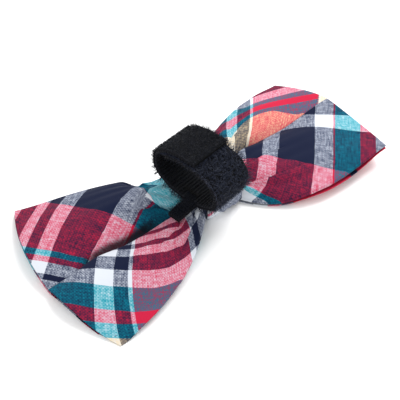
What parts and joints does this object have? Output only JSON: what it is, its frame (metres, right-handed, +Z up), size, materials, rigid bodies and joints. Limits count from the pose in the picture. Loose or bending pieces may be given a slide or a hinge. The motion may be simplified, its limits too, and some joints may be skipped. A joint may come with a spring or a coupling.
{
  "type": "slide-on bow tie",
  "caption": "Ready-tied plaid cotton bow, gathered into a centre band, with a hook-and-loop strap ring on its back that takes a collar or neckband.",
  "frame": {"origin": "middle of the part's footprint, on the surface it lies on with its front face down", "axes": "+X along the bow towards the right wing as pictured, +Y across the bow away from the camera side, +Z up through the strap ring"},
  "size_m": [0.1574, 0.078, 0.0339],
  "materials": {
    "plaid_cotton": "matt plain-weave cotton, yarn-dyed plaid",
    "band_plaid": "matt plain-weave cotton, navy part of the plaid",
    "interlining": "matt non-woven",
    "hook_tape": "black nylon hook tape, ribbed rows",
    "pile_tape": "black nylon looped pile",
    "black_thread": "polyester thread",
    "navy_thread": "polyester thread"
  },
  "bodies": {
    "bow": {"back_panel": "plaid_cotton", "front_panel": "plaid_cotton", "interlining": "interlining", "left_seam_allowance": "plaid_cotton", "right_seam_allowance": "plaid_cotton", "gather_thread": "black_thread", "centre_band": "band_plaid", "band_interfacing": "interlining", "band_closing_stitches": "navy_thread", "floor_hook": "hook_tape", "floor_pile": "pile_tape", "tab_hook": "hook_tape", "tab_pile": "pile_tape", "bar_tacks": "black_thread"},
    "far_wall": {"far_wall_hook": "hook_tape", "far_wall_pile": "pile_tape"},
    "flap": {"flap_hook": "hook_tape", "flap_pile": "pile_tape"},
    "tongue": {"tongue_hook": "hook_tape", "tongue_pile": "pile_tape"}
  },
  "joints": [
    {"name": "far_wall_fold", "type": "hinge", "parent": "bow", "child": "far_wall", "pos_m": [-0.00879, 0.00442, 0.01227], "axis": [-0.9882, -0.153, 0], "range_deg": [0, 40]},
    {"name": "flap_peel", "type": "hinge", "parent": "far_wall", "child": "flap", "pos_m": [-0.00961, 0.00975, 0.02952], "axis": [-0.9882, -0.153, 0], "range_deg": [0, 150.5]},
    {"name": "tongue_spread", "type": "hinge", "parent": "bow", "child": "tongue", "pos_m": [-0.00571, -0.01542, 0.01227], "axis": [0.9882, 0.153, 0], "range_deg": [0, 21]}
  ],
  "couplings": [
    {"joint": "flap_peel", "follows": "tongue_spread", "ratio": 7.1429}
  ]
}
